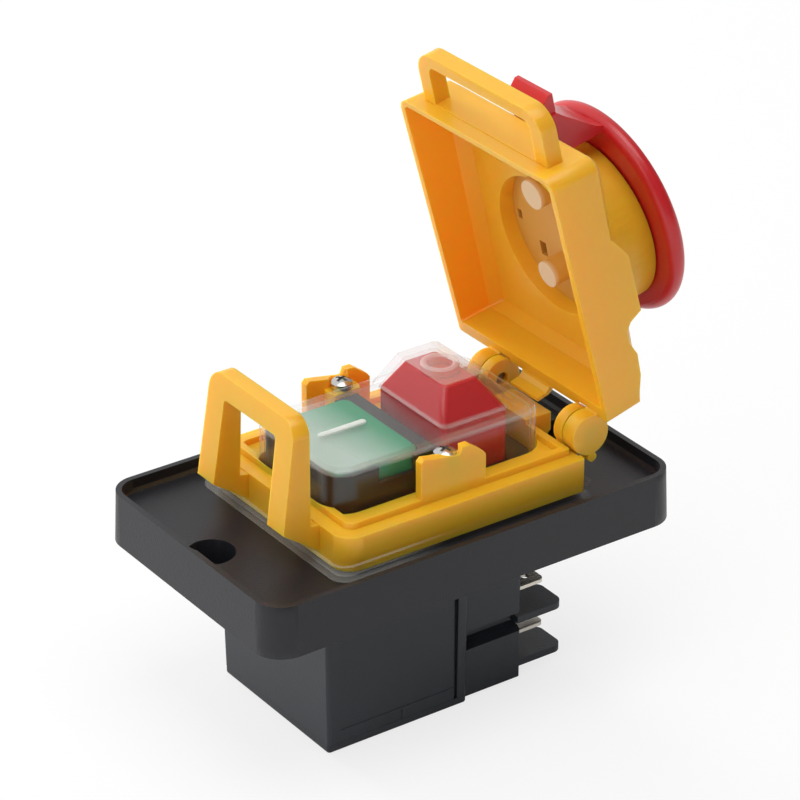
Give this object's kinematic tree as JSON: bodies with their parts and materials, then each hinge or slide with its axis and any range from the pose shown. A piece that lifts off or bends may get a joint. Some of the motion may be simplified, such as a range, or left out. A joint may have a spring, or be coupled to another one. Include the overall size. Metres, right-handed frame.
{
  "type": "magnetic push button switch",
  "caption": "Panel-mount no-volt release switch: start and stop buttons under a clear boot on a dark flange, with a hinged yellow stop flap, red latching palm head and padlock hasp.",
  "frame": {"origin": "midway between the two panel screw holes, on the underside of the mounting plate, which sits on the panel", "axes": "+X along the plate toward the flap hinge, +Y across the plate, +Z out of the panel toward the operator"},
  "size_m": [0.1148, 0.065, 0.1339],
  "materials": {
    "charcoal_plastic": "fine spark texture, moulded",
    "tinned_brass": "tin plated strip",
    "contact_silver": "silver alloy tips",
    "core_steel": "ground pole faces",
    "bobbin_plastic": "natural moulded",
    "copper_wire": "enamelled wire",
    "contact_brass": "stamped strip",
    "spring_steel": "drawn wire",
    "green_plastic": "moulded, semi gloss",
    "red_plastic": "moulded, gloss",
    "clear_vinyl": "milky clear, soft",
    "yellow_plastic": "moulded, satin",
    "plated_steel": "zinc plated"
  },
  "bodies": {
    "switch_body": {"mounting_plate": "charcoal_plastic", "base_housing": "charcoal_plastic", "bottom_cover": "charcoal_plastic", "terminal_block": "charcoal_plastic", "spade_terminals": "tinned_brass", "fixed_contact_tips": "contact_silver", "magnet_core": "core_steel", "coil_bobbin": "bobbin_plastic", "coil_winding": "copper_wire", "armature_spring": "spring_steel", "button_guide": "charcoal_plastic", "start_spring": "spring_steel", "stop_spring": "spring_steel", "clear_boot": "clear_vinyl", "bezel_frame": "yellow_plastic", "bezel_screws": "plated_steel", "hinge_pins": "spring_steel"},
    "start_button": {"start_button": "green_plastic"},
    "stop_button": {"stop_button": "red_plastic"},
    "armature_group": {"armature": "core_steel", "contact_carrier": "bobbin_plastic", "contact_bridges": "contact_brass"},
    "stop_flap": {"flap_lid": "yellow_plastic", "foot_plate": "yellow_plastic"},
    "latch": {"latch_head": "red_plastic"}
  },
  "joints": [
    {"name": "flap_hinge", "type": "hinge", "parent": "switch_body", "child": "stop_flap", "pos_m": [0.0348, 0, 0.0212], "axis": [0, -1, 0], "range_deg": [0, 66]},
    {"name": "latch_slide", "type": "slide", "parent": "stop_flap", "child": "latch", "axis": [0.225, 0, -0.9744], "range_m": [0, 0.004], "stiffness_N_per_m": 400, "springref_m": -0.002},
    {"name": "start_press", "type": "slide", "parent": "switch_body", "child": "start_button", "axis": [0, 0, -1], "range_m": [0, 0.004], "stiffness_N_per_m": 600, "springref_m": -0.002, "deforming": ["start_spring"]},
    {"name": "stop_press", "type": "slide", "parent": "switch_body", "child": "stop_button", "axis": [0, 0, -1], "range_m": [0, 0.004], "stiffness_N_per_m": 600, "springref_m": -0.002, "deforming": ["stop_spring"]},
    {"name": "armature_pull", "type": "slide", "parent": "switch_body", "child": "armature_group", "axis": [0, 0, -1], "range_m": [0, 0.0024], "deforming": ["armature_spring"]}
  ],
  "couplings": [
    {"joint": "armature_pull", "follows": "start_press", "ratio": 0.6}
  ]
}
